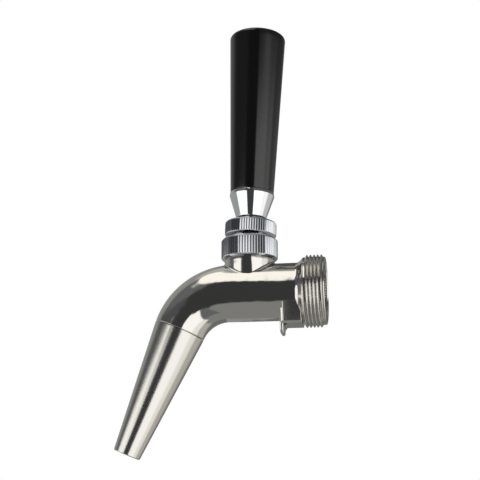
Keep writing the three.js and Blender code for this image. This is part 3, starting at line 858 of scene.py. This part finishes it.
# Soft boxes of the studio, each painted over those before it: first and last azimuth round
# from the camera's side with their soft edges, lowest and highest elevation with theirs, and
# how much the low edge rises per degree of azimuth, counted from azimuth 0.
SoftBox = namedtuple("SoftBox", "azimuth sides elevation ends tilt light")
BACK_WALL = (0.37, 0.38, 0.37)
SOFT_BOXES = [
    SoftBox((138, 200), (14, 1), (-60, 60), (4, 4), 0, (0.205, 0.21, 0.205)),
    SoftBox((160, 200), (6, 1), (28, 78), (6, 4), 0, (0.10, 0.10, 0.105)),
    SoftBox((-200, -171), (1, 5), (28, 78), (6, 4), 0, (0.10, 0.10, 0.105)),
    SoftBox((-200, 200), (1, 1), (-100, -46), (1, 3), 0, (0.30, 0.305, 0.305)),
    SoftBox((10, 64), (4, 8), (-100, -30), (1, 3), 0, (0.18, 0.19, 0.21)),
    SoftBox((-106, -36), (8, 8), (0, 78), (5, 4), 0, (0.17, 0.175, 0.19)),
    SoftBox((-110, -30), (20, 8), (15, 30), (2, 4), 0, (0.11, 0.11, 0.12)),
    SoftBox((-38, 10), (7, 3), (-47, 60), (4, 5), 0, (0.052, 0.054, 0.056)),
    SoftBox((10, 150), (3, 20), (18, 60), (4, 5), 0, (0.12, 0.12, 0.125)),
    SoftBox((-150, 200), (10, 1), (78, 100), (4, 1), 0, (0.45, 0.45, 0.44)),
    SoftBox((-122, -87), (8, 3), (-40, -9), (4, 3), 0, (0.85, 0.84, 0.80)),
    SoftBox((-87, -29), (3, 2.5), (-38, 4), (3, 3), 0, (1.45, 1.45, 1.43)),
    SoftBox((-80, -40), (4, 3), (-10, 12.5), (3, 1.2), 0, (1.50, 1.50, 1.48)),
    SoftBox((-165, -100), (10, 12), (56, 76), (3, 3), 0, (0.62, 0.61, 0.59)),
    SoftBox((-112, -14), (14, 3), (30, 77), (2.5, 3), -0.32, (1.50, 1.48, 1.40)),
    SoftBox((88, 135), (8, 14), (-50, 8), (4, 10), 0, (0.62, 0.60, 0.57)),
    SoftBox((50, 92), (8, 6), (-31, 16), (3, 5), -0.33, (1.18, 1.18, 1.14)),
    SoftBox((9.5, 60), (1.5, 6), (-31, 16), (2, 1.2), -0.33, (1.50, 1.50, 1.50)),
    SoftBox((42, 50), (26, 16), (17.5, 18.5), (1, 5), 0, (3.3, 3.3, 3.3)),
]


def add_world():
    """The soft boxes as light from all around, with a white backdrop for the camera alone."""
    world = bpy.data.worlds.new("studio")
    bpy.context.scene.world = world
    world.use_nodes = True
    tree = world.node_tree
    tree.nodes.clear()
    direction = node(tree, "ShaderNodeTexCoord", {}).outputs["Generated"]
    x, y, z = node(tree, "ShaderNodeSeparateXYZ", {0: direction}).outputs

    def weighed(x_weight, y_weight):
        return maths(tree, "ADD", maths(tree, "MULTIPLY", x, x_weight), maths(tree, "MULTIPLY", y, y_weight))

    turn = CAMERA["azimuth"]
    ahead, right = weighed(math.sin(turn), -math.cos(turn)), weighed(math.cos(turn), math.sin(turn))
    azimuth = maths(tree, "DEGREES", maths(tree, "ARCTAN2", right, ahead))
    elevation = maths(tree, "DEGREES", maths(tree, "ARCSINE", z))

    def above(value, limit, edge):
        inputs = {0: value, 1: limit - edge, 2: limit + edge}
        return node(tree, "ShaderNodeMapRange", inputs, interpolation_type="SMOOTHSTEP").outputs[0]

    def within(value, risen, limits, edges):
        fall = maths(tree, "SUBTRACT", 1.0, above(value, limits[1], edges[1]))
        return maths(tree, "MULTIPLY", above(risen, limits[0], edges[0]), fall)

    light = (*BACK_WALL, 1)
    for box in SOFT_BOXES:
        risen = maths(tree, "SUBTRACT", elevation, maths(tree, "MULTIPLY", azimuth, box.tilt))
        beside = within(azimuth, azimuth, box.azimuth, box.sides)
        mask = maths(tree, "MULTIPLY", beside, within(elevation, risen, box.elevation, box.ends))
        light = mix(tree, mask, light, (*box.light, 1))
    studio = node(tree, "ShaderNodeBackground", {"Color": light})
    backdrop = node(tree, "ShaderNodeBackground", {"Color": (1, 1, 1, 1), "Strength": 1.0})
    seen = node(tree, "ShaderNodeLightPath", {}).outputs["Is Camera Ray"]
    mixed = node(tree, "ShaderNodeMixShader", {0: seen, 1: studio.outputs[0], 2: backdrop.outputs[0]})
    node(tree, "ShaderNodeOutputWorld", {"Surface": mixed.outputs[0]})


def add_floor():
    """Pale floor, well below the loose tap."""
    half, level = 3.0, -0.30
    corners = [(-half, -half, level), (half, -half, level), (half, half, level), (-half, half, level)]
    mesh = bpy.data.meshes.new("floor")
    mesh.from_pydata(corners, [], [(0, 1, 2, 3)])
    floor = add_object("floor", mesh)
    made, tree, shader = material("floor")
    grain = between(tree, noise(tree, place_in_mm(tree), 0.01), 0.6, 0.7)
    feed(tree, shader, {"Base Color": (0.85, 0.85, 0.85, 1), "Roughness": grain})
    mesh.materials.append(made)
    floor.visible_glossy = False


add_camera()
add_world()
add_floor()
bpy.context.scene.view_settings.view_transform = "Standard"
